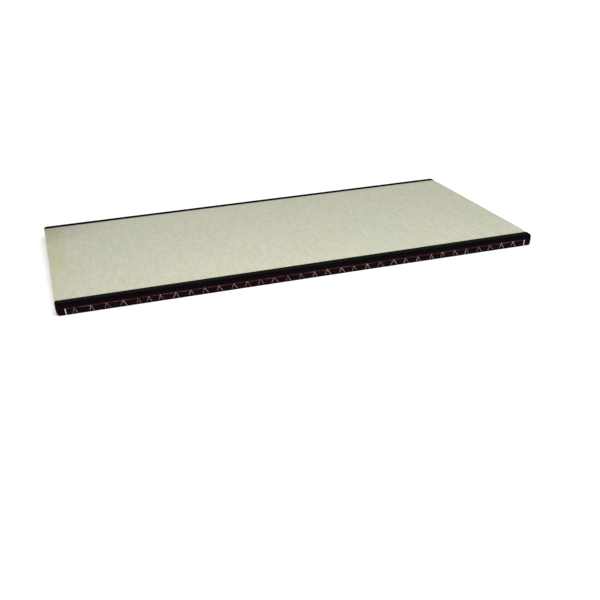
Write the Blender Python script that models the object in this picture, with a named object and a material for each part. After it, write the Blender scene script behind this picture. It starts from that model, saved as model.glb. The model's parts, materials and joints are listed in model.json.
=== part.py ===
# Tatami mat: a firm slab under a woven rush cover, with both long edges bound in cloth tape.
# Metres, +Z up. X runs along the mat and Y across it. The origin is the middle of the underside.

from math import cos, pi, radians, sin, sqrt

import bmesh
import bpy

# Overall size, measured over the bindings
LENGTH = 2.000
WIDTH = 1.000
HEIGHT = 0.0515

# Binding tape, sewn round each long edge and folded over the ends and the underside
TAPE = 0.0012
GAP = 0.0003
BINDING_WIDTH = 0.030
RETURN_WIDTH = 0.014

# Rounds of the bound edges, measured on the outside of the tape
PLAN_RADIUS = 0.012
SIDE_TOP_RADIUS = 0.006
SIDE_LOW_RADIUS = 0.004
END_TOP_RADIUS = 0.006
END_LOW_RADIUS = 0.009

# Rush cover between the bindings: ribs along the mat that turn down over its ends
RIB_COUNT = 59
RIB_RELIEF = 0.0008
RIB_FACES = 3
RUSH_TOP_RADIUS = 0.005
RUSH_LOW_RADIUS = 0.005

# Fineness of the rounds, and how much of a corner's round is left at the flat side
SIDE_STEPS = 5
CORNER_STEPS = 3
TIGHTEST_CORNER = 0.35
SHARP_ANGLE = radians(35)

# The slab lies this far inside the outside of the tape, and steps down at the tape's turned ends
SLAB_INSET = TAPE + GAP
STEP_X = LENGTH / 2 - RETURN_WIDTH - GAP


def remove_everything():
    for item in list(bpy.data.objects):
        bpy.data.objects.remove(item, do_unlink=True)


def make_material(name, colour, roughness):
    material = bpy.data.materials.new(name)
    material.use_nodes = True
    shader = material.node_tree.nodes["Principled BSDF"]
    shader.inputs["Base Color"].default_value = (*colour, 1.0)
    shader.inputs["Roughness"].default_value = roughness
    shader.inputs["Metallic"].default_value = 0.0
    return material


def setback(depth, radius, inset):
    # How far a face stands back near the mat's side, where a round leads from one to the other.
    # depth is measured in from the side, and inset shrinks the whole form, round included.
    if depth >= radius:
        return inset
    return radius - sqrt(max(0.0, (radius - inset) ** 2 - (radius - depth) ** 2))


def side_depths(inset):
    # Depths of the sections through the round at a long side, from its flat face inwards
    turns = [step * pi / 2 / SIDE_STEPS for step in range(SIDE_STEPS + 1)]
    return [(inset + (PLAN_RADIUS - inset) * (1 - cos(turn)), sin(turn)) for turn in turns]


def outline(reach, low, high, low_radius, high_radius, underside):
    # A section along the mat: (x, z) points anticlockwise from the lower right corner
    corners = (
        (reach - low_radius, low + low_radius, low_radius, -90),
        (reach - high_radius, high - high_radius, high_radius, 0),
        (high_radius - reach, high - high_radius, high_radius, 90),
        (low_radius - reach, low + low_radius, low_radius, 180),
    )
    points = []
    for centre_x, centre_z, radius, start in corners:
        for step in range(CORNER_STEPS + 1):
            turn = radians(start + 90 * step / CORNER_STEPS)
            points.append((centre_x + radius * cos(turn), centre_z + radius * sin(turn)))
    return points + [(-x, z) for x, z in underside] + list(reversed(underside))


def bound_outline(depth, inset, openness, underside):
    # A section through the bound edge, whose corners tighten towards the flat side
    softness = TIGHTEST_CORNER + (1 - TIGHTEST_CORNER) * openness
    return outline(
        LENGTH / 2 - setback(depth, PLAN_RADIUS, inset),
        setback(depth, SIDE_LOW_RADIUS, inset),
        HEIGHT - setback(depth, SIDE_TOP_RADIUS, inset),
        (END_LOW_RADIUS - inset) * softness,
        (END_TOP_RADIUS - inset) * softness,
        underside,
    )


def add_ring(bm, points, y):
    verts = [bm.verts.new((x, y, z)) for x, z in points]
    return [bm.edges.new((vert, verts[index - 1])) for index, vert in enumerate(verts)]


def skin(bm, rings):
    # Joins each closed ring of edges to the next
    for first, second in zip(rings, rings[1:]):
        bmesh.ops.bridge_loops(bm, edges=first + second)


def finish_object(bm, name, material, parent):
    bmesh.ops.recalc_face_normals(bm, faces=bm.faces)
    mesh = bpy.data.meshes.new(name)
    bm.to_mesh(mesh)
    bm.free()
    mesh.shade_smooth()
    mesh.set_sharp_from_angle(angle=SHARP_ANGLE)
    mesh.materials.append(material)
    item = bpy.data.objects.new(name, mesh)
    bpy.context.scene.collection.objects.link(item)
    item.parent = parent
    return item


def slab_margin_sections():
    # The part of the slab inside a binding, from the flat side to the rush: (depth, outline)
    sections = []
    for depth, openness in side_depths(SLAB_INSET):
        low = setback(depth, SIDE_LOW_RADIUS, SLAB_INSET)
        underside = [(STEP_X, low), (STEP_X - SLAB_INSET, low)]
        sections.append((depth, bound_outline(depth, SLAB_INSET, openness, underside)))
    # The slab stands on the floor inside the tape that is turned under it
    folded = [(STEP_X, SLAB_INSET), (STEP_X - SLAB_INSET, SLAB_INSET)]
    standing = [(STEP_X, SLAB_INSET), (STEP_X - SLAB_INSET, 0.0)]
    tape_end = RETURN_WIDTH + GAP
    sections.append((tape_end, bound_outline(tape_end, SLAB_INSET, 1.0, folded)))
    for depth in (tape_end + SLAB_INSET, BINDING_WIDTH + GAP):
        sections.append((depth, bound_outline(depth, SLAB_INSET, 1.0, standing)))
    return sections


def rush_sections():
    # Ribs across the rush from one binding to the other: (y, outline)
    half_width = WIDTH / 2 - BINDING_WIDTH - GAP - RIB_RELIEF
    face_count = RIB_COUNT * RIB_FACES
    face_width = 2 * half_width / face_count
    underside = [(STEP_X, 0.0), (STEP_X - SLAB_INSET, 0.0)]
    sections = []
    for index in range(face_count + 1):
        in_valley = index % RIB_FACES == 0
        sink = SLAB_INSET + (RIB_RELIEF if in_valley else 0.0)
        section = outline(LENGTH / 2 - sink, 0.0, HEIGHT - sink, RUSH_LOW_RADIUS, RUSH_TOP_RADIUS, underside)
        sections.append((index * face_width - half_width, section))
    return sections


def build_mat_body(material, parent):
    margin = slab_margin_sections()
    sections = [(depth - WIDTH / 2, points) for depth, points in margin]
    sections += rush_sections()
    sections += [(WIDTH / 2 - depth, points) for depth, points in reversed(margin)]
    bm = bmesh.new()
    rings = [add_ring(bm, points, y) for y, points in sections]
    skin(bm, rings)
    bmesh.ops.contextual_create(bm, geom=rings[0])
    bmesh.ops.contextual_create(bm, geom=rings[-1])
    return finish_object(bm, "mat_body", material, parent)


def add_tape_surface(bm, side, inset):
    # One face of the tape, from the flat side to its edge on top, and turned under all round
    return_x = LENGTH / 2 - RETURN_WIDTH
    rings = []
    for depth, openness in side_depths(inset) + [(RETURN_WIDTH, 1.0), (BINDING_WIDTH, 1.0)]:
        underside = [(return_x, setback(depth, SIDE_LOW_RADIUS, inset))]
        points = bound_outline(depth, inset, openness, underside)
        rings.append(add_ring(bm, points, side * (WIDTH / 2 - depth)))
    skin(bm, rings)
    bmesh.ops.contextual_create(bm, geom=rings[0])
    # Past its turned end the tape leaves the underside bare
    bare = []
    for face in bm.faces:
        x, y, z = face.calc_center_median()
        if abs(y) < WIDTH / 2 - RETURN_WIDTH and abs(x) < return_x and z < TAPE + GAP:
            bare.append(face)
    bmesh.ops.delete(bm, geom=bare, context="FACES")


def build_binding(name, side, material, parent):
    bm = bmesh.new()
    for inset in (0.0, TAPE):
        add_tape_surface(bm, side, inset)
    rim = [edge for edge in bm.edges if edge.is_boundary]
    bmesh.ops.bridge_loops(bm, edges=rim)
    return finish_object(bm, name, material, parent)


def main():
    remove_everything()
    rush = make_material("rush cover", (0.60, 0.57, 0.42), 0.75)
    tape = make_material("binding tape", (0.010, 0.008, 0.011), 0.9)
    mat = bpy.data.objects.new("tatami mat", None)
    bpy.context.scene.collection.objects.link(mat)
    build_mat_body(rush, mat)
    build_binding("binding_near", -1, tape, mat)
    build_binding("binding_far", 1, tape, mat)


main()
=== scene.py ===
import json
import math
import random

import bmesh
import bpy
from mathutils import Matrix, Vector, noise

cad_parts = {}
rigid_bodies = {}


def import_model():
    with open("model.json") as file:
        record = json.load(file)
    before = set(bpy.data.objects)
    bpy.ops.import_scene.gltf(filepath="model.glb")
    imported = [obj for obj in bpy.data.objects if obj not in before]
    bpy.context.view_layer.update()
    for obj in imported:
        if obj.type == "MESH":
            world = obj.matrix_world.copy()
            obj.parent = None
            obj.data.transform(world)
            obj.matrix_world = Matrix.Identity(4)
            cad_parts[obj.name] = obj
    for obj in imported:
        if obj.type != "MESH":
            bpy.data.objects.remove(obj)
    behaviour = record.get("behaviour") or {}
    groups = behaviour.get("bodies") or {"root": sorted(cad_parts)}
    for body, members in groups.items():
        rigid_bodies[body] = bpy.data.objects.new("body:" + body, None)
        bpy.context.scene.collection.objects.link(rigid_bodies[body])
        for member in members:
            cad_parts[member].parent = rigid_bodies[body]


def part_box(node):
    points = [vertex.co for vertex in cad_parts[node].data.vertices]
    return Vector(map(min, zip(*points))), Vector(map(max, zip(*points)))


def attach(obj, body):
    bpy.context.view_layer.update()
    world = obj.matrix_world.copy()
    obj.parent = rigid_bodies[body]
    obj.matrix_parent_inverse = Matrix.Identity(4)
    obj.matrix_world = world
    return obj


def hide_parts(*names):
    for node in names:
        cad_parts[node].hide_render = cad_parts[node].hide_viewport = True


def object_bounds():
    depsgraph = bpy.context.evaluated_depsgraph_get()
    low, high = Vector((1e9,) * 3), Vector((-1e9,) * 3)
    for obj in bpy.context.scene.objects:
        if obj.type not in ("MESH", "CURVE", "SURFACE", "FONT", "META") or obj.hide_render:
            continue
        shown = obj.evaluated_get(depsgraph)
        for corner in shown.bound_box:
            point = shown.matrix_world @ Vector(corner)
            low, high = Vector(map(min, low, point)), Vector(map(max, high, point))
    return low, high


for leftOver in list(bpy.data.objects):
    bpy.data.objects.remove(leftOver, do_unlink=True)

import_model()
cadLow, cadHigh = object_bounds()
slabLow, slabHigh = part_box("mat_body")
tapeLow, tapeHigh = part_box("binding_near")
print("frame loaded, the mat is", [round(side, 4) for side in cadHigh - cadLow])

# Camera, placed from the edges of the mat in the photograph
cameraView = {
    "place": (-0.9713, -3.6170, 1.2867),
    "turnDegrees": (67.061, 2.241, -17.378),
    "lensMm": 52.34,
    "sensorMm": 36.0,
    "farthest": 200.0,
}


def makeCamera():
    lens = bpy.data.cameras.new("photoCamera")
    lens.lens = cameraView["lensMm"]
    lens.sensor_width = cameraView["sensorMm"]
    lens.clip_end = cameraView["farthest"]
    camera = bpy.data.objects.new("photoCamera", lens)
    camera.location = cameraView["place"]
    camera.rotation_euler = [math.radians(turn) for turn in cameraView["turnDegrees"]]
    bpy.context.scene.collection.objects.link(camera)
    bpy.context.scene.camera = camera


makeCamera()
print("camera placed")


# Short ways to write node trees
def addNode(tree, kind, settings=None, inputs=None):
    made = tree.nodes.new(kind)
    for name, value in (settings or {}).items():
        setattr(made, name, value)
    for name, value in (inputs or {}).items():
        if isinstance(value, bpy.types.NodeSocket):
            tree.links.new(value, made.inputs[name])
        else:
            made.inputs[name].default_value = value
    return made


def calc(tree, operation, *values):
    made = addNode(tree, "ShaderNodeMath", {"operation": operation}, dict(enumerate(values)))
    return made.outputs[0]


def plus(tree, first, second):
    return calc(tree, "ADD", first, second)


def minus(tree, first, second):
    return calc(tree, "SUBTRACT", first, second)


def times(tree, first, second):
    return calc(tree, "MULTIPLY", first, second)


def blend(tree, first, second, share):  # share is how much of the first is taken
    return plus(tree, times(tree, first, share), times(tree, second, 1 - share))


def fade(tree, value, start, end):  # 0 before start, 1 after end, smooth between
    settings = {"interpolation_type": "SMOOTHSTEP"}
    made = addNode(tree, "ShaderNodeMapRange", settings, {"Value": value, "From Min": start, "From Max": end})
    return made.outputs["Result"]


def joinPlace(tree, x, y, z=0.0):
    return addNode(tree, "ShaderNodeCombineXYZ", inputs={"X": x, "Y": y, "Z": z}).outputs[0]


def splitPlace(tree, place):
    return addNode(tree, "ShaderNodeSeparateXYZ", inputs={"Vector": place}).outputs


def objectPlace(tree):
    return addNode(tree, "ShaderNodeTexCoord").outputs["Object"]


def clouds(tree, place, scale, detail=2.0, roughness=0.5):
    inputs = {"Vector": place, "Scale": scale, "Detail": detail, "Roughness": roughness}
    return addNode(tree, "ShaderNodeTexNoise", inputs=inputs).outputs["Fac"]


def mixColour(tree, factor, first, second, blendType="MIX"):
    made = addNode(tree, "ShaderNodeMix", {"data_type": "RGBA", "blend_type": blendType})
    for index, value in ((0, factor), (6, first), (7, second)):
        if isinstance(value, bpy.types.NodeSocket):
            tree.links.new(value, made.inputs[index])
        elif index:
            made.inputs[index].default_value = (*value, 1.0)
        else:
            made.inputs[index].default_value = value
    return made.outputs[2]


def tinted(tree, colour, factor, tint):
    return mixColour(tree, factor, colour, tint, "MULTIPLY")


def ramp(tree, value, stops):
    made = addNode(tree, "ShaderNodeValToRGB", inputs={"Fac": value})
    points = made.color_ramp.elements
    while len(points) < len(stops):
        points.new(1.0)
    for point, (place, colour) in zip(points, stops):
        point.position = place
        point.color = (*colour, 1.0)
    return made.outputs["Color"]


def startMaterial(name, finish):
    material = bpy.data.materials.new(name)
    material.use_nodes = True
    tree = material.node_tree
    shader = tree.nodes["Principled BSDF"]
    shader.inputs["Roughness"].default_value = finish["roughness"]
    shader.inputs["Specular IOR Level"].default_value = finish["specular"]
    shader.inputs["Sheen Weight"].default_value = finish.get("sheen", 0.0)
    return material, tree, shader


def addBump(tree, shader, height, finish):
    inputs = {"Height": height, "Distance": finish["bumpDistance"], "Strength": finish["bumpStrength"]}
    made = addNode(tree, "ShaderNodeBump", inputs=inputs)
    tree.links.new(made.outputs["Normal"], shader.inputs["Normal"])


# How near two places have to be to count as one, and how straight an edge has to run along an axis
tolerance = {"same": 1e-6, "near": 1e-5, "straight": 0.999}


# Shared modelling steps
def boxFrom(low, high):
    bm = bmesh.new()
    bmesh.ops.create_cube(bm, size=1.0)
    bmesh.ops.scale(bm, vec=high - low, verts=bm.verts)
    bmesh.ops.translate(bm, vec=(high + low) / 2, verts=bm.verts)
    return bm


def runsAlong(edge, axis):
    way = edge.verts[1].co - edge.verts[0].co
    return abs(way[axis]) > tolerance["straight"] * way.length


def longEdges(bm, axis, least):
    return [edge for edge in bm.edges if runsAlong(edge, axis) and edge.calc_length() > least]


def roundEdges(bm, edges, radius, segments):
    bmesh.ops.bevel(bm, geom=edges, offset=radius, offset_type="OFFSET", affect="EDGES",
                    segments=segments, profile=0.5, material=-1, clamp_overlap=True)


def roundForm(bm, upright, low, high, spec):
    # rounds the upright edges, then the closed rims at the top and at the bottom
    roundEdges(bm, upright, spec["planRound"], spec["planSteps"])
    for level, rounding, steps in ((high, "topRound", "topSteps"), (low, "lowRound", "lowSteps")):
        rim = [edge for edge in bm.edges if not edge.is_boundary
               and all(abs(vert.co.z - level) < tolerance["same"] for vert in edge.verts)]
        roundEdges(bm, rim, spec[rounding], spec[steps])


def cutAt(bm, point, normal, faces=None):
    chosen = list(bm.faces) if faces is None else faces
    edges = {edge for face in chosen for edge in face.edges}
    verts = {vert for face in chosen for vert in face.verts}
    bmesh.ops.bisect_plane(bm, geom=[*verts, *edges, *chosen], plane_co=point, plane_no=normal,
                           dist=tolerance["same"])


def cutUnder(bm, axis, reach):
    # cuts the underside across an axis, at a distance from the middle
    under = [face for face in bm.faces if all(vert.co.z < tolerance["near"] for vert in face.verts)]
    way = Vector((0, 0, 0))
    way[axis] = 1
    cutAt(bm, way * reach, way, under)


def finishPiece(bm, name, materials, replaced=()):
    mesh = bpy.data.meshes.new(name)
    bm.to_mesh(mesh)
    bm.free()
    mesh.shade_smooth()
    for material in materials:
        mesh.materials.append(material)
    piece = bpy.data.objects.new(name, mesh)
    bpy.context.scene.collection.objects.link(piece)
    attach(piece, "root")
    if replaced:
        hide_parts(*replaced)
    return piece


def sideOf(value):
    return 1 if value > 0 else -1


def smoothStep(value, start, end):
    share = min(1.0, max(0.0, (value - start) / (end - start)))
    return share * share * (3 - 2 * share)


def hump(distance, width):  # 1 at the middle, near 0 at twice the width
    return math.exp(-(distance / width) ** 2)


def softNoise(first, second, paces):  # paces: of the two places, then a layer of the noise
    return noise.noise(Vector((first * paces[0], second * paces[1], paces[2])))


# The bound ends lean in towards the floor, and their corners are softer than the sides'
boundEnds = {
    "lean": 0.004,
    "leanFrom": 0.032,
    "lowRound": 0.009,
    "topRounds": {(-1, -1): 0.008, (1, -1): 0.015, (-1, 1): 0.009, (1, 1): 0.010},
    "bulge": 0.0008,
    "bulgeHeight": 0.030,
    "bulgeWidth": 0.012,
    "reach": (0.060, 0.006),
    "boundWidth": 0.028,
    "fade": 0.055,
    "rushShare": 0.25,
}


def arcDepth(radius, depth):  # how far a round stands in, at a depth below where it starts
    if depth >= radius:
        return 0.0
    return radius - math.sqrt(radius * radius - (radius - max(depth, 0.0)) ** 2)


def endPull(co, topLevel, form):
    # how far the bound corners are drawn in along the mat, past a form with rounds of its own
    spec = boundEnds
    start, end = spec["reach"]
    reach = smoothStep(abs(co.x), cadHigh.x - start, cadHigh.x - end)
    if not reach:
        return 0.0
    tapeEdge = slabHigh.y - spec["boundWidth"]
    bound = smoothStep(abs(co.y), tapeEdge - spec["fade"], tapeEdge)
    cornerRound = spec["topRounds"][sideOf(co.x), sideOf(co.y)]
    depth = topLevel - co.z
    pull = arcDepth(cornerRound, depth) - arcDepth(form["topRound"], depth)
    pull *= bound
    low = arcDepth(spec["lowRound"], co.z) - arcDepth(form["lowRound"], co.z)
    low += spec["lean"] * max(0.0, 1 - co.z / spec["leanFrom"])
    pull += low * (spec["rushShare"] + (1 - spec["rushShare"]) * bound)
    pull -= spec["bulge"] * hump(co.z - spec["bulgeHeight"], spec["bulgeWidth"])
    return pull * reach


# Rush cover over the straw slab
rushSlab = {
    "ribCount": 59,
    "facesPerRib": 8,
    "ribRelief": 0.0010,
    "ribCrest": 0.8,
    "ribUneven": 0.30,
    "ribUnevenPace": (3.0, 7.31, 9.0),
    "valleyWander": 0.0010,
    "valleyPace": (1.7, 3.0, 21.0),
    "unevenness": 0.0004,
    "unevenPace": (2.2, 9.0, 3.0),
    "drawnDown": 0.0011,
    "drawnWidth": 0.006,
    "planRound": 0.0105,
    "planSteps": 5,
    "topRound": 0.005,
    "topSteps": 5,
    "lowRound": 0.005,
    "lowSteps": 4,
    "tapeWidth": 0.030,
    "tapeGap": 0.0008,
    "turnedTape": 0.0143,
    "turnedDepth": 0.0016,
    "underLevel": 0.002,
    "longEdge": 1.0,
    "lengthCuts": 99,
    "endCuts": 19,
}
# Half the width of the rush between the tapes, and the width of a rib
rushHalf = slabHigh.y - rushSlab["tapeWidth"] + (cadHigh.y - slabHigh.y) - rushSlab["tapeGap"]
ribPitch = 2 * rushHalf / rushSlab["ribCount"]

# Stitches across each short end, in the turned-down rush
endSewing = {
    "count": 16,
    "pitch": 0.0572,
    "height": 0.0385,
    "uneven": (0.004, 0.0015),
    "placeSeed": 41,
    "dimple": 0.0020,
    "dimpleWidth": 0.0038,
    "pull": 0.0005,
    "pullWidth": 0.0022,
    "holeRise": 0.0008,
    "holeWidth": 0.0026,
    "foot": 0.0055,
    "footUneven": 0.002,
    "threadSeed": 67,
    "thicknesses": (1.5, 1.8, 2.1),
    "lift": 0.7,
    "reliefShare": 0.5,
}


def planEndStitches():  # for each end of the mat, the upper hole of each stitch
    spec = endSewing
    chance = random.Random(spec["placeSeed"])
    first = -spec["pitch"] * (spec["count"] - 1) / 2
    aside, upDown = spec["uneven"]
    plans = {-1: [], 1: []}
    for places in plans.values():
        for index in range(spec["count"]):
            y = first + index * spec["pitch"] + chance.uniform(-aside, aside)
            z = spec["height"] + chance.uniform(-upDown, upDown)
            places.append((y, z))
    return plans


endStitches = planEndStitches()


def endDent(side, y, z):  # how deep the sewing draws the end face in
    spec = endSewing
    depth = 0.0
    for stitchY, stitchZ in endStitches[side]:
        aside = abs(y - stitchY)
        if aside < 3 * spec["dimpleWidth"]:
            depth += spec["dimple"] * hump(math.hypot(aside, z - stitchZ), spec["dimpleWidth"])
            if z < stitchZ:
                depth += spec["pull"] * hump(aside, spec["pullWidth"])
    return depth


# the painted shade in the stitch holes of the end faces follows this
def endHole(side, y, z):  # 1 where a stitch goes in, 0 away from it
    rise, width = endSewing["holeRise"], endSewing["holeWidth"]
    return max(hump(math.hypot(y - holeY, z - holeZ - rise), width) for holeY, holeZ in endStitches[side])


def ribHeight(phase):  # 0 in a valley, 1 along the crest
    return max(0.0, math.sin(math.pi * phase)) ** rushSlab["ribCrest"]


def surfacePlace(co):
    # for a point of the bare slab: the way out, how far along the cover it lies from the mat's middle,
    # and its share of the relief, which fades out towards the underside
    spec = rushSlab
    side = sideOf(co.x)
    reach = abs(co.x)
    topX = slabHigh.x - spec["topRound"]
    topZ = slabHigh.z - spec["topRound"]
    lowX = slabHigh.x - spec["lowRound"]
    lowZ = spec["lowRound"]
    if co.z > topZ:
        if reach <= topX:
            return Vector((0, 0, 1)), co.x, 1.0
        turn = math.atan2(reach - topX, co.z - topZ)
        along = topX + spec["topRound"] * turn
        return Vector((side * math.sin(turn), 0, math.cos(turn))), side * along, 1.0
    downTo = topX + spec["topRound"] * math.pi / 2
    if co.z >= lowZ:
        return Vector((side, 0, 0)), side * (downTo + topZ - co.z), 1.0
    turn = math.atan2(lowZ - co.z, reach - lowX) if reach > lowX else math.pi / 2
    along = downTo + topZ - lowZ + spec["lowRound"] * turn + max(0.0, lowX - reach)
    return Vector((side * math.cos(turn), 0, 0)), side * along, math.cos(turn)


def cutSlab():
    # the rounded slab, with rows of faces for the ribs, the unevenness and the stitch holes
    spec = rushSlab
    near = tolerance["near"]
    bm = boxFrom(slabLow, slabHigh)
    upright = [edge for edge in bm.edges if runsAlong(edge, 2)]
    roundForm(bm, upright, slabLow.z, slabHigh.z, spec)
    for y in (-rushHalf, rushHalf):
        cutAt(bm, (0, y, 0), (0, 1, 0))
    ribs = [edge for edge in bm.edges if runsAlong(edge, 1)
            and all(abs(vert.co.y) < rushHalf + near for vert in edge.verts)]
    bmesh.ops.subdivide_edges(bm, edges=ribs, cuts=spec["ribCount"] * spec["facesPerRib"] - 1)
    onTop = [edge for edge in longEdges(bm, 0, spec["longEdge"]) if edge.verts[0].co.z > slabHigh.z - near
             and abs(edge.verts[0].co.y) < rushHalf + near]
    bmesh.ops.subdivide_edges(bm, edges=onTop, cuts=spec["lengthCuts"], use_grid_fill=True)
    onEnds = [edge for edge in bm.edges if runsAlong(edge, 2)
              and abs(edge.verts[0].co.x) > slabHigh.x - near and abs(edge.verts[0].co.y) < rushHalf + near]
    bmesh.ops.subdivide_edges(bm, edges=onEnds, cuts=spec["endCuts"], use_grid_fill=True)
    # the underside steps up over the tape that is turned under
    for distance in (spec["turnedTape"], spec["turnedTape"] + spec["turnedDepth"]):
        for axis, reach in ((0, cadHigh.x - distance), (1, cadHigh.y - distance)):
            for side in (-1, 1):
                cutUnder(bm, axis, side * reach)
    print("slab cut into", len(bm.faces), "faces")
    return bm


def rushMove(co, way, along, share):
    # how the ribs, the unevenness and the stitches move a point of the rush
    spec = rushSlab
    rib = (co.y + rushHalf) / ribPitch
    uneven = softNoise(along, math.floor(rib), spec["ribUnevenPace"])
    relief = spec["ribRelief"] * (1 + spec["ribUneven"] * uneven)
    move = -way * (relief * (1 - ribHeight(rib % 1.0)) * share)
    move.y += spec["valleyWander"] * softNoise(along, co.y, spec["valleyPace"]) * share
    if way.z > 0.5:
        edgeGap = min(rib, spec["ribCount"] - rib) * ribPitch
        move.z += (spec["unevenness"] * softNoise(along, co.y, spec["unevenPace"])
                   - spec["drawnDown"] * math.exp(-edgeGap / spec["drawnWidth"]))
    if abs(way.x) > 0.5:
        side = sideOf(co.x)
        move.x -= side * endDent(side, co.y, co.z)
    return move


def buildSlab(rushMaterial, backingMaterial):
    spec = rushSlab
    bm = cutSlab()
    alongLayer = bm.verts.layers.float.new("along")
    stitchHoleShadeLayer = bm.verts.layers.float.new("stitchHoleShade")
    spare = 1e-4  # of a rib, and in metres above the floor
    turnedX = cadHigh.x - spec["turnedTape"] - tolerance["near"]
    turnedY = cadHigh.y - spec["turnedTape"] - tolerance["near"]
    moves = []
    for vert in bm.verts:
        co = vert.co
        way, along, share = surfacePlace(co)
        vert[alongLayer] = along
        inRush = -spare < (co.y + rushHalf) / ribPitch < spec["ribCount"] + spare
        move = Vector((0, 0, 0))
        if inRush and (co.z > spare or share > 0.0):
            move = rushMove(co, way, along, share)
            if abs(way.x) > 0.5:
                # painted shade in the stitch holes
                vert[stitchHoleShadeLayer] = endHole(sideOf(co.x), co.y, co.z)
        elif not inRush and co.z < tolerance["near"] and (abs(co.y) > turnedY or abs(co.x) > turnedX):
            move.z += spec["turnedDepth"]
        move.x -= math.copysign(endPull(co, slabHigh.z, spec), co.x)
        moves.append(move)
    for vert, move in zip(bm.verts, moves):
        vert.co += move
    weaveLayer = bm.loops.layers.uv.new("rush")  # millimetres along the cover, and the rib's number
    for face in bm.faces:
        under = all(loop.vert.co.z < spec["underLevel"] for loop in face.loops) and face.normal.z < -0.9
        face.material_index = 1 if under else 0
        for loop in face.loops:
            rib = (loop.vert.co.y + rushHalf) / ribPitch
            loop[weaveLayer].uv = (loop.vert[alongLayer] * 1000, rib)
    slab = finishPiece(bm, "rushSlab", [rushMaterial, backingMaterial], ["mat_body"])
    return slab


# Colours are linear. A pace is how fast a pattern changes, and a fade is where it starts and is full.
rushFinish = {
    "roughness": 0.62,
    "specular": 0.28,
    "bumpDistance": 0.0004,
    "bumpStrength": 0.50,
    "grainScale": 900.0,
    "grainShare": 0.35,
    "stemMm": 1.5,
    "stemChance": 0.22,
    "stemPace": (0.28, 0.20, 0.35),
    "stemTones": (
        (0.20, (0.350, 0.336, 0.262)),
        (0.40, (0.398, 0.390, 0.315)),
        (0.58, (0.425, 0.418, 0.344)),
        (0.82, (0.470, 0.463, 0.391)),
    ),
    "blotchPace": (0.035, 0.90),
    "blotchFade": (0.38, 0.66),
    "blotchTint": (0.935, 0.940, 0.925),
    "patches": (
        (3.2, 0.35, 0.65, (0.970, 1.000, 0.985)),
        (11.0, 0.42, 0.62, (1.000, 0.985, 0.982)),
        (17.0, 0.45, 0.66, (0.975, 0.998, 0.970)),
        (24.0, 0.48, 0.66, (1.000, 0.992, 0.950)),
    ),
    "patchRoughness": 0.6,
    "streakPace": (0.070, 0.20),
    "streakRoughness": 0.75,
    "streakFade": (0.42, 0.62),
    "streakTint": (0.950, 0.944, 0.922),
    # painted shade towards the far left corner: where it is centred, its fade and its tint
    "corner": (-1.0, 0.5, 0.05),
    "cornerShadeFade": (0.38, 0.02),
    "cornerShadeTint": (0.76, 0.75, 0.74),
    "driedFadeX": (-0.905, -0.965),
    "driedFadeY": (-0.30, 0.0),
    "driedLeast": 0.35,
    "driedTint": (0.945, 0.935, 0.800),
    # grey valleys on top: warp threads and painted shade
    "valleyPower": 2.2,
    "valleyWarpAndShadeTint": (0.838, 0.854, 0.822),
    # painted highlight over the fold: where it starts and is full, and its tint
    "foldHighlightMm": (996.5, 999.0),
    "foldHighlightTint": (1.13, 1.12, 1.09),
    "foldMm": (1003.0, 1008.0),
    "endChance": 0.50,
    # the end faces' stem tones: the turned rush's own browner tone together with painted shade of the end
    # faces
    "endTonesAndShade": (
        (0.22, (0.62, 0.50, 0.37)),
        (0.42, (0.96, 0.81, 0.63)),
        (0.66, (1.12, 0.97, 0.77)),
    ),
    "endBlotchTint": (0.82, 0.80, 0.76),
    # a darker band along the stitch row on each end: pressed rush and painted shade of its groove
    "seamAndShadeMm": (1009.0, 1013.0, 1018.0, 1022.0),
    "seamAndShadeShare": 0.8,
    "seamAndShadeTint": (0.80, 0.76, 0.70),
    # darker valleys on the end faces: warp threads and painted shade
    "darkValleyPower": 9.0,
    "darkValleyShare": 0.62,
    "endValleyWarpAndShade": (0.105, 0.078, 0.048),
    # painted shade in the stitch holes
    "stitchHoleShadeTint": (0.38, 0.33, 0.28),
}


def phaseOf(tree, value):  # -1 to 1 across each stem or rib, with 0 in its middle
    return minus(tree, times(tree, calc(tree, "FRACT", value), 2.0), 1.0)


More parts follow.
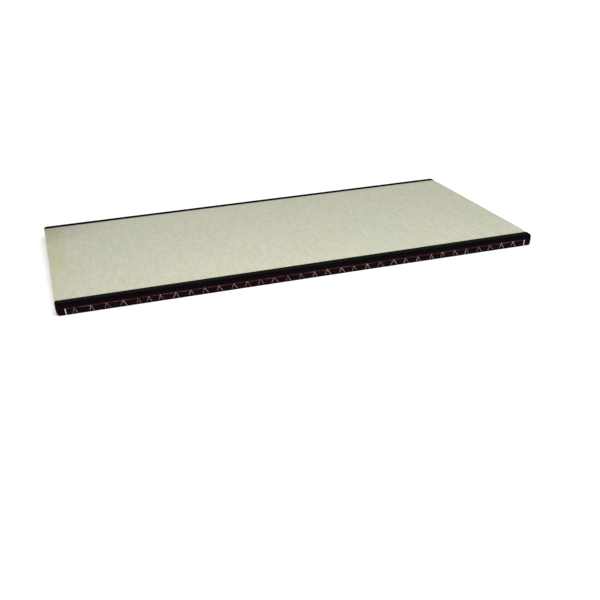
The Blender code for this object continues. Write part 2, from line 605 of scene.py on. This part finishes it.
def makeRushMaterial():
    spec = rushFinish
    material, tree, shader = startMaterial("wovenRush", spec)
    onCover = splitPlace(tree, addNode(tree, "ShaderNodeUVMap", {"uv_map": "rush"}).outputs["UV"])
    along, rib = onCover["X"], onCover["Y"]
    place = objectPlace(tree)
    # neighbouring ribs show the stems that pass under the ones beside them, so odd and even ribs differ
    ribNumber = calc(tree, "FLOOR", rib)
    parity = calc(tree, "MODULO", plus(tree, ribNumber, 1000.0), 2.0)  # 1000 keeps it positive
    stem = plus(tree, calc(tree, "DIVIDE", along, spec["stemMm"]), times(tree, parity, 0.5))
    stemNumber = calc(tree, "FLOOR", stem)
    stemPhase = phaseOf(tree, stem)
    stemRound = minus(tree, 1.0, times(tree, stemPhase, stemPhase))
    fromCrest = calc(tree, "ABSOLUTE", phaseOf(tree, rib))
    # a stem has a tone of its own, which also drifts from stem to stem and from rib to rib
    key = joinPlace(tree, stemNumber, parity)
    dice = addNode(tree, "ShaderNodeTexWhiteNoise", {"noise_dimensions": "2D"}, {"Vector": key})
    chance = dice.outputs["Value"]
    drift = joinPlace(tree, *(times(tree, value, pace)
                              for value, pace in zip((stemNumber, ribNumber, parity), spec["stemPace"])))
    alongStem = clouds(tree, drift, 1.0)
    colour = ramp(tree, blend(tree, chance, alongStem, spec["stemChance"]), spec["stemTones"])
    # each rib has longer blotches of its own
    paceAlong, paceAcross = spec["blotchPace"]
    blotchPlace = joinPlace(tree, times(tree, along, paceAlong), times(tree, ribNumber, paceAcross))
    blotch = fade(tree, clouds(tree, blotchPlace, 1.0, 1.0), *spec["blotchFade"])
    colour = tinted(tree, colour, blotch, spec["blotchTint"])
    # broad greenish, pinkish and straw-coloured patches, and short darker streaks across the mat
    for scale, start, end, tint in spec["patches"]:
        patch = clouds(tree, place, scale, 2.0, spec["patchRoughness"])
        colour = tinted(tree, colour, fade(tree, patch, start, end), tint)
    paceAlong, paceAcross = spec["streakPace"]
    streakPlace = joinPlace(tree, times(tree, along, paceAlong), times(tree, rib, paceAcross))
    streaks = clouds(tree, streakPlace, 1.0, 4.0, spec["streakRoughness"])
    colour = tinted(tree, colour, fade(tree, streaks, *spec["streakFade"]), spec["streakTint"])
    # painted shade: the rush is darker towards the far left corner
    ends = {0: place, 1: spec["corner"]}
    fromCorner = addNode(tree, "ShaderNodeVectorMath", {"operation": "DISTANCE"}, ends)
    corner = fade(tree, fromCorner.outputs["Value"], *spec["cornerShadeFade"])
    colour = tinted(tree, colour, corner, spec["cornerShadeTint"])
    # the rush near one end has dried to straw colour, least of all at the near tape
    spot = splitPlace(tree, place)
    across = times(tree, fade(tree, spot["Y"], *spec["driedFadeY"]), 1 - spec["driedLeast"])
    dried = fade(tree, spot["X"], *spec["driedFadeX"])
    dried = times(tree, dried, plus(tree, spec["driedLeast"], across))
    colour = tinted(tree, colour, dried, spec["driedTint"])
    # the valleys are soft and grey on top, partly from the warp threads and partly as painted shade
    colour = tinted(tree, colour, calc(tree, "POWER", fromCrest, spec["valleyPower"]), spec["valleyWarpAndShadeTint"])
    # painted highlight over the fold; past it browner stems of many tones (own tone and painted shade), a
    # darker band along the stitch row (pressed rush and painted shade) and darker valleys (warp threads and
    # painted shade)
    distance = calc(tree, "ABSOLUTE", along)
    turned = fade(tree, distance, *spec["foldMm"])
    foldHighlight = times(tree, fade(tree, distance, *spec["foldHighlightMm"]), minus(tree, 1.0, turned))
    colour = tinted(tree, colour, foldHighlight, spec["foldHighlightTint"])
    # past the fold the stems are browner and darker: partly their own tone, partly painted shade of the end
    # faces
    endStemsAndShade = ramp(tree, blend(tree, chance, alongStem, spec["endChance"]), spec["endTonesAndShade"])
    colour = tinted(tree, colour, turned, endStemsAndShade)
    colour = tinted(tree, colour, times(tree, blotch, turned), spec["endBlotchTint"])
    # a darker band along the stitch row: partly rush pressed by the sewing, partly painted shade of its
    # groove
    first, second, third, last = spec["seamAndShadeMm"]
    seamAndShade = times(tree, fade(tree, distance, first, second), fade(tree, distance, last, third))
    colour = tinted(tree, colour, times(tree, seamAndShade, spec["seamAndShadeShare"]), spec["seamAndShadeTint"])
    # the valleys on the end faces are darkened: partly warp threads, partly painted shade
    inValley = times(tree, calc(tree, "POWER", fromCrest, spec["darkValleyPower"]), turned)
    colour = mixColour(tree, times(tree, inValley, spec["darkValleyShare"]), colour, spec["endValleyWarpAndShade"])
    # painted shade in the stitch holes of the end faces
    stitchHoleShade = addNode(tree, "ShaderNodeAttribute", {"attribute_name": "stitchHoleShade"})
    colour = tinted(tree, colour, stitchHoleShade.outputs["Fac"], spec["stitchHoleShadeTint"])
    tree.links.new(colour, shader.inputs["Base Color"])
    grain = clouds(tree, place, spec["grainScale"])
    addBump(tree, shader, plus(tree, stemRound, times(tree, grain, spec["grainShare"])), spec)
    return material


backingFinish = {
    "roughness": 0.85,
    "specular": 0.15,
    "bumpDistance": 0.0008,
    "bumpStrength": 0.6,
    "weave": {"Scale": 90.0, "Distortion": 3.0, "Detail": 3.0, "Detail Scale": 2.0},
    "fibreScale": 120.0,
    "fibreDetail": 6.0,
    "fibreRoughness": 0.7,
    "tones": ((0.2, (0.235, 0.165, 0.082)), (0.8, (0.430, 0.330, 0.190))),
}


def makeBackingMaterial():
    spec = backingFinish
    material, tree, shader = startMaterial("strawBacking", spec)
    place = objectPlace(tree)
    across = addNode(tree, "ShaderNodeTexWave", {"bands_direction": "X"}, {"Vector": place, **spec["weave"]})
    fibres = clouds(tree, place, spec["fibreScale"], spec["fibreDetail"], spec["fibreRoughness"])
    tone = blend(tree, across.outputs["Fac"], fibres, 0.5)
    tree.links.new(ramp(tree, tone, spec["tones"]), shader.inputs["Base Color"])
    addBump(tree, shader, tone, spec)
    return material


buildSlab(makeRushMaterial(), makeBackingMaterial())
print("rush slab built")


# Binding tape on each long edge. Each of its rows gives the axis of the edges that are cut, the length
# that they have to pass, and the cuts.
bindingTape = {
    "thickness": 0.0012,
    "planRound": 0.012,
    "planSteps": 6,
    "topRound": 0.006,
    "topSteps": 5,
    "lowRound": 0.0035,
    "lowSteps": 4,
    "turnedUnder": 0.014,
    "rows": ((0, 1.0, 493), (2, 0.03, 19), (1, 0.02, 11), (1, 0.015, 5)),
    "edgeRise": 0.0006,
    "riseWidth": 0.005,
    "foldFrom": 0.006,
    "foldDepth": (0.0014, 0.0024),
    "sideBulge": 0.0008,
    "bulgeHeight": 0.034,
    "bulgeWidth": 0.013,
    "ledge": 0.0004,
    "ledgeHeight": 0.0255,
    "ledgeSpan": (0.0012, 0.0006),
    "ripple": 0.00025,
    "sidePace": (22.0, 45.0),
    "topPace": (14.0, 40.0),
    "sideFacing": (0.2, 0.9),
    "topFacing": (0.5, 0.95),
}
# Thread chevrons that hold the tape's lower half to the side, and the red line above them
sideSewing = {
    "chevronsMm": (68, 130, 187, 249, 306, 347, 392, 451, 509, 565, 620, 679, 734, 789, 844, 902, 955,
                   1013, 1068, 1128, 1181, 1238, 1297, 1356, 1410, 1466, 1526, 1577, 1632, 1687, 1744,
                   1798, 1853, 1908),
    "planSeeds": {-1: 7, 1: 19},
    "apexHeight": 0.0268,
    "apexUneven": (-0.0008, 0.0012),
    "footHeight": 0.0040,
    "footUneven": (-0.0015, 0.0030),
    "leftSpread": (0.005, 0.012),
    "rightSpread": (0.010, 0.017),
    "dent": 0.0006,
    "dentWidth": 0.0055,
    "threadSeeds": {-1: 31, 1: 53},
    "thicknesses": (0.85, 1.0, 1.0, 1.25),
    "lift": 0.8,
    "bow": 0.0008,
    "endStitchMm": (35, 1963),
    "endStitchStrands": (3, 4),
    "endStitchHeights": (0.0265, 0.0006),
    "endStitchLean": 0.0022,
    "endStitchBow": 0.0003,
    "endStitchThickness": 1.2,
    "strandGaps": (0.0009, 0.0010),
    "strandUneven": 0.0008,
    "lineSeeds": {-1: 83, 1: 97},
    "lineHeight": 0.0262,
    "lineUneven": (-0.0006, 0.0004),
    "lineGap": (0.0005, 0.0035),
    "lineLift": 0.6,
    "lineThickness": 0.95,
}


def planChevrons(side):
    # (top of the chevron, its two feet) on a long side, from left to right as seen from outside
    spec = sideSewing
    chance = random.Random(spec["planSeeds"][side])
    plans = []
    for placeMm in spec["chevronsMm"]:
        x = side * (cadHigh.x - placeMm / 1000)
        apex = (x, spec["apexHeight"] + chance.uniform(*spec["apexUneven"]))
        feet = []
        for way, spread in ((side, "leftSpread"), (-side, "rightSpread")):
            reach = chance.uniform(*spec[spread])
            feet.append((x + way * reach, spec["footHeight"] + chance.uniform(*spec["footUneven"])))
        plans.append((apex, feet))
    return plans


chevrons = {side: planChevrons(side) for side in (-1, 1)}


def sideOut(side, x, z):  # how far the long side stands out of its flat face
    spec = bindingTape
    out = spec["sideBulge"] * hump(z - spec["bulgeHeight"], spec["bulgeWidth"])
    below, above = spec["ledgeSpan"]
    out += spec["ledge"] * smoothStep(z, spec["ledgeHeight"] - below, spec["ledgeHeight"] + above)
    out += spec["ripple"] * softNoise(x, z, (*spec["sidePace"], side * 5.0))
    reach = 3 * sideSewing["dentWidth"]
    for apex, feet in chevrons[side]:
        if abs(x - apex[0]) < reach + sideSewing["rightSpread"][1]:
            for dentX, dentZ in (apex, *feet):
                away = math.hypot(x - dentX, z - dentZ)
                if away < reach:
                    out -= sideSewing["dent"] * hump(away, sideSewing["dentWidth"])
    return out


def cutTape(name):
    # the near tape's bare form: a rounded box that is open towards the rush and under the mat
    spec = bindingTape
    bm = boxFrom(tapeLow, tapeHigh)
    inner = [face for face in bm.faces if face.normal.y > 0.9]
    bmesh.ops.delete(bm, geom=inner, context="FACES_ONLY")
    upright = [edge for edge in bm.edges if runsAlong(edge, 2)
               and abs(edge.verts[0].co.y - tapeLow.y) < tolerance["same"]]
    roundForm(bm, upright, tapeLow.z, tapeHigh.z, spec)
    turnedX = tapeHigh.x - spec["turnedUnder"]
    turnedY = tapeLow.y + spec["turnedUnder"]
    for axis, reach in ((0, -turnedX), (0, turnedX), (1, turnedY)):
        cutUnder(bm, axis, reach)
    bare = []
    for face in bm.faces:
        middle = face.calc_center_median()
        if middle.z < tolerance["near"] and abs(middle.x) < turnedX and middle.y > turnedY:
            bare.append(face)
    bmesh.ops.delete(bm, geom=bare, context="FACES")
    straightX = tapeHigh.x - spec["planRound"]
    for x in (-straightX, straightX):
        cutAt(bm, (x, 0, 0), (1, 0, 0))
    for axis, least, cuts in spec["rows"]:
        bmesh.ops.subdivide_edges(bm, edges=longEdges(bm, axis, least), cuts=cuts, use_grid_fill=True)
    print(name, "cut into", len(bm.faces), "faces")
    return bm


def foldInnerEdge(bm):
    # the edge on the rush, and down the ends, is folded in towards the slab
    spec = bindingTape
    innerY = abs(tapeHigh.y)
    rim = [edge for edge in bm.edges if edge.is_boundary
           and all(abs(abs(vert.co.y) - innerY) < tolerance["near"] and vert.co.z > spec["foldFrom"]
                   for vert in edge.verts)]
    ways = {tuple(vert.co): vert.normal.copy() for edge in rim for vert in edge.verts}
    folded = bmesh.ops.extrude_edge_only(bm, edges=rim)["geom"]
    onEnd, onTop = spec["foldDepth"]
    for vert in [item for item in folded if isinstance(item, bmesh.types.BMVert)]:
        way = ways[tuple(vert.co)]
        vert.co -= way * (onEnd + (onTop - onEnd) * max(0.0, way.z))


def buildTape(side, name, replaced, material):
    spec = bindingTape
    bm = cutTape(name)
    bm.normal_update()
    bmesh.ops.transform(bm, matrix=Matrix.Diagonal((1, -side, 1, 1)), verts=bm.verts)
    if side > 0:
        bmesh.ops.reverse_faces(bm, faces=bm.faces)
    bm.normal_update()
    for vert in bm.verts:
        co = vert.co
        out = sideOut(side, co.x, co.z) * smoothStep(max(0.0, vert.normal.y * side), *spec["sideFacing"])
        lift = spec["ripple"] * softNoise(co.x, co.y, (*spec["topPace"], side * 2.0 + 8.0))
        lift += spec["edgeRise"] * hump(abs(co.y) - abs(tapeHigh.y), spec["riseWidth"])
        lift *= smoothStep(max(0.0, vert.normal.z), *spec["topFacing"])
        pull = math.copysign(endPull(co, tapeHigh.z, spec), co.x)
        vert.co += Vector((-pull, side * out, lift))
    foldInnerEdge(bm)
    bm.normal_update()
    weaveLayer = bm.loops.layers.uv.new("weave")  # millimetres along the two ways of the cloth
    for face in bm.faces:
        normal = face.normal
        for loop in face.loops:
            co = loop.vert.co * 1000
            if abs(normal.z) > 0.7:
                loop[weaveLayer].uv = (co.x, co.y)
            elif abs(normal.y) > abs(normal.x):
                loop[weaveLayer].uv = (co.x, co.z)
            else:
                loop[weaveLayer].uv = (co.y, co.z)
    tape = finishPiece(bm, name, [material], [replaced])
    thicken = tape.modifiers.new("cloth", "SOLIDIFY")
    thicken.thickness = spec["thickness"]
    thicken.offset = -1.0
    thicken.use_even_offset = True
    return tape


tapeFinish = {
    "roughness": 0.95,
    "specular": 0.0,
    "sheen": 0.012,
    "bumpDistance": 0.0002,
    "bumpStrength": 0.8,
    "threadMm": 0.6,
    "threadContrast": 0.50,
    "sideFade": (0.4945, 0.4985),
    # painted light: the top is lighter than the black of the side
    "top": (0.0043, 0.0042, 0.0045),
    "black": (0.0027, 0.0018, 0.0023),
    "navy": (0.0025, 0.0023, 0.0036),
    "navyScale": 9.0,
    "navyFade": (0.4, 0.65),
    "maroon": (0.0082, 0.0022, 0.0028),
    "maroonFade": (0.041, 0.029),
    "brown": (0.0058, 0.0036, 0.0031),
    "brownFade": (0.017, 0.008),
}


def makeTapeMaterial():
    spec = tapeFinish
    material, tree, shader = startMaterial("boundTape", spec)
    place = objectPlace(tree)
    spot = splitPlace(tree, place)
    onSide = fade(tree, calc(tree, "ABSOLUTE", spot["Y"]), *spec["sideFade"])
    navy = fade(tree, clouds(tree, place, spec["navyScale"]), *spec["navyFade"])
    colour = mixColour(tree, navy, spec["black"], spec["navy"])
    # the top is lighter than the side, which is painted light; the side is maroon round the red thread and
    # brownish below it
    colour = mixColour(tree, onSide, spec["top"], colour)
    for tone, heights in (("maroon", "maroonFade"), ("brown", "brownFade")):
        share = times(tree, fade(tree, spot["Z"], *spec[heights]), onSide)
        colour = mixColour(tree, share, colour, spec[tone])
    # plain weave
    weave = addNode(tree, "ShaderNodeUVMap", {"uv_map": "weave"})
    threads = splitPlace(tree, weave.outputs["UV"])
    turn = 2 * math.pi / (2 * spec["threadMm"])
    warp = calc(tree, "SINE", times(tree, threads["X"], turn))
    weft = calc(tree, "SINE", times(tree, threads["Y"], turn))
    weaveHeight = times(tree, warp, weft)
    shade = plus(tree, 1.0, times(tree, weaveHeight, spec["threadContrast"]))
    shades = addNode(tree, "ShaderNodeCombineColor", inputs={"Red": shade, "Green": shade, "Blue": shade})
    colour = tinted(tree, colour, 1.0, shades.outputs[0])
    tree.links.new(colour, shader.inputs["Base Color"])
    addBump(tree, shader, weaveHeight, spec)
    return material


tapeMaterial = makeTapeMaterial()
for side, name, replaced in ((-1, "nearTape", "binding_near"), (1, "farTape", "binding_far")):
    tape = buildTape(side, name, replaced, tapeMaterial)
print("binding tapes built")


# Sewing thread
sewingThread = {
    "radius": 0.00046,
    "plyRadius": 0.00025,
    "plies": 2,
    "twist": 0.0034,
    "step": 0.0008,
    "sides": 5,
    "buried": 0.0014,
    "pathSteps": 10,
    "dipShare": 8,
}
threadFinish = {
    "roughness": 0.75,
    "specular": 0.2,
    "bumpDistance": 0.0002,
    "bumpStrength": 0.5,
    "fibreScale": 2500.0,
    "patchScale": 26.0,
    "patchDetail": 4.0,
    "patchRoughness": 0.6,
    "stops": (0.36, 0.50, 0.64),
    "tones": {
        "whiteThread": ((0.24, 0.18, 0.165), (0.49, 0.42, 0.39), (0.86, 0.82, 0.78)),
        "thickThread": ((0.46, 0.39, 0.36), (0.74, 0.69, 0.66), (0.90, 0.88, 0.86)),
        "paleThread": ((0.44, 0.38, 0.27), (0.62, 0.56, 0.43), (0.74, 0.69, 0.56)),
        "redThread": ((0.08, 0.024, 0.027), (0.19, 0.068, 0.072), (0.40, 0.190, 0.190)),
    },
}


def makeThreadMaterial(name):
    spec = threadFinish
    material, tree, shader = startMaterial(name, spec)
    place = objectPlace(tree)
    patches = clouds(tree, place, spec["patchScale"], spec["patchDetail"], spec["patchRoughness"])
    colour = ramp(tree, patches, tuple(zip(spec["stops"], spec["tones"][name])))
    tree.links.new(colour, shader.inputs["Base Color"])
    addBump(tree, shader, clouds(tree, place, spec["fibreScale"]), spec)
    return material


threadMaterials = {name: makeThreadMaterial(name) for name in threadFinish["tones"]}


def threadAlong(total, points, thickness):
    # plies twisted round the path through the points
    spec = sewingThread
    smooth = []
    for first, second in zip(points, points[1:]):
        steps = max(1, round((second - first).length / spec["step"]))
        smooth += [first.lerp(second, step / steps) for step in range(steps)]
    smooth.append(points[-1])
    offset = (spec["radius"] - spec["plyRadius"]) * thickness
    for ply in range(spec["plies"]):
        bm = bmesh.new()
        ring = None
        travelled = 0.0
        for index, point in enumerate(smooth):
            before = smooth[max(0, index - 1)]
            after = smooth[min(len(smooth) - 1, index + 1)]
            way = (after - before).normalized()
            travelled += (point - before).length
            turn = 2 * math.pi * (travelled / (spec["twist"] * thickness) + ply / spec["plies"])
            basis = way.to_track_quat("Z", "Y").to_matrix().to_4x4()
            place = Matrix.Translation(point) @ basis
            place = place @ Matrix.Translation((offset * math.cos(turn), offset * math.sin(turn), 0))
            made = bmesh.ops.create_circle(bm, cap_ends=index in (0, len(smooth) - 1), segments=spec["sides"],
                                           radius=spec["plyRadius"] * thickness, matrix=place)
            edges = list({edge for vert in made["verts"] for edge in vert.link_edges})
            if ring:
                bmesh.ops.bridge_loops(bm, edges=ring + edges)
            ring = edges
        bmesh.ops.recalc_face_normals(bm, faces=bm.faces)
        strand = bpy.data.meshes.new("strand")
        bm.to_mesh(strand)
        bm.free()
        total.from_mesh(strand)
        bpy.data.meshes.remove(strand)


def liePath(first, second, surface, liftShare, bow=0.0):
    # from one hole to the other over the surface, dipping in at both ends
    spec = sewingThread
    points = []
    for step in range(spec["pathSteps"] + 1):
        share = step / spec["pathSteps"]
        flat = [a + (b - a) * share for a, b in zip(first, second)]
        flat[0] += bow * math.sin(math.pi * share)
        rise = min(1.0, spec["dipShare"] * share, spec["dipShare"] * (1 - share))
        points.append(surface(*flat, spec["radius"] * liftShare * rise))
    return [surface(*first, -spec["buried"]), *points, surface(*second, -spec["buried"])]


def sideSurface(side):
    def place(x, z, height):
        out = sideOut(side, x, z) - arcDepth(bindingTape["lowRound"], z)
        return Vector((x, side * (cadHigh.y + out + height), z))

    return place


def sewSide(side, name):
    spec = sideSewing
    chance = random.Random(spec["threadSeeds"][side])
    bm = bmesh.new()
    surface = sideSurface(side)
    for apex, feet in chevrons[side]:
        for foot in feet:
            thickness = chance.choice(spec["thicknesses"])
            bow = chance.uniform(-spec["bow"], spec["bow"])
            threadAlong(bm, liePath(apex, foot, surface, spec["lift"], bow), thickness)
    # a thick stitch near each end, of strands side by side, that leans to the middle and goes under
    thinFaces = len(bm.faces)
    high, low = spec["endStitchHeights"]
    gapHigh, gapLow = spec["strandGaps"]
    for placeMm, strands in zip(spec["endStitchMm"], spec["endStitchStrands"]):
        x = side * (cadHigh.x - placeMm / 1000)
        lean = math.copysign(spec["endStitchLean"], -x)
        for strand in [number - (strands - 1) / 2 for number in range(strands)]:
            top = (x + strand * gapHigh, high + chance.uniform(-spec["strandUneven"], spec["strandUneven"]))
            foot = (x + strand * gapLow + lean, low)
            bow = chance.uniform(-spec["endStitchBow"], spec["endStitchBow"])
            threadAlong(bm, liePath(top, foot, surface, spec["lift"], bow), spec["endStitchThickness"])
    bm.faces.ensure_lookup_table()
    for face in bm.faces[thinFaces:]:
        face.material_index = 1
    materials = [threadMaterials["whiteThread"], threadMaterials["thickThread"]]
    return finishPiece(bm, name, materials)


def sewLine(side, name):
    # red running stitches from one chevron to the next
    spec = sideSewing
    chance = random.Random(spec["lineSeeds"][side])
    bm = bmesh.new()
    surface = sideSurface(side)
    edges = [side * (cadHigh.x - placeMm / 1000) for placeMm in spec["endStitchMm"]]
    stops = sorted([apex[0] for apex, feet in chevrons[side]] + edges)
    for first, second in zip(stops, stops[1:]):
        ends = []
        for stop, way in ((first, 1), (second, -1)):
            x = stop + way * chance.uniform(*spec["lineGap"])
            ends.append((x, spec["lineHeight"] + chance.uniform(*spec["lineUneven"])))
        threadAlong(bm, liePath(*ends, surface, spec["lineLift"]), spec["lineThickness"])
    return finishPiece(bm, name, [threadMaterials["redThread"]])


def endSurface(side):
    def place(y, z, height):
        sunk = endDent(side, y, z) + rushSlab["ribRelief"] * endSewing["reliefShare"]
        return Vector((side * (slabHigh.x - sunk + height), y, z))

    return place


def sewEnds():
    spec = endSewing
    chance = random.Random(spec["threadSeed"])
    bm = bmesh.new()
    for side in (-1, 1):
        surface = endSurface(side)
        for y, z in endStitches[side]:
            foot = (y + chance.uniform(-spec["footUneven"], spec["footUneven"]), spec["foot"])
            path = liePath((y, z), foot, surface, spec["lift"])
            threadAlong(bm, path, chance.choice(spec["thicknesses"]))
    return finishPiece(bm, "endStitches", [threadMaterials["paleThread"]])


sewSide(-1, "nearStitches")
sewSide(1, "farStitches")
sewLine(-1, "nearRedLine")
sewLine(1, "farRedLine")
sewEnds()
print("sewing done")


# Studio
studio = {
    "floorReach": 60.0,
    "floorGap": 0.0002,
    "floorColour": (0.93, 0.93, 0.93),
    "floorFinish": {"roughness": 0.8, "specular": 0.2},
    "worldStrength": 1.08,
    "keyPlace": (0.0, -1.0, 1.55),
    "keySize": (2.2, 0.9),
    "keyPower": 25.5,
}


def makeFloor():
    bm = bmesh.new()
    bmesh.ops.create_grid(bm, x_segments=1, y_segments=1, size=studio["floorReach"])
    bmesh.ops.translate(bm, vec=(0, 0, cadLow.z - studio["floorGap"]), verts=bm.verts)
    mesh = bpy.data.meshes.new("floor")
    bm.to_mesh(mesh)
    bm.free()
    material, tree, shader = startMaterial("paleFloor", studio["floorFinish"])
    shader.inputs["Base Color"].default_value = (*studio["floorColour"], 1.0)
    mesh.materials.append(material)
    floor = bpy.data.objects.new("floor", mesh)
    bpy.context.scene.collection.objects.link(floor)


def addKeyLight():
    light = bpy.data.lights.new("keyLight", "AREA")
    light.shape = "RECTANGLE"
    light.size, light.size_y = studio["keySize"]
    light.energy = studio["keyPower"]
    lamp = bpy.data.objects.new("keyLight", light)
    lamp.location = studio["keyPlace"]
    bpy.context.scene.collection.objects.link(lamp)


def lightWorld():
    world = bpy.data.worlds.new("studioWorld")
    world.use_nodes = True
    background = world.node_tree.nodes["Background"]
    background.inputs["Color"].default_value = (1.0, 1.0, 1.0, 1.0)
    background.inputs["Strength"].default_value = studio["worldStrength"]
    bpy.context.scene.world = world


makeFloor()
addKeyLight()
lightWorld()
bpy.context.scene.view_settings.view_transform = "Standard"
print("studio lit")

bpy.context.view_layer.update()
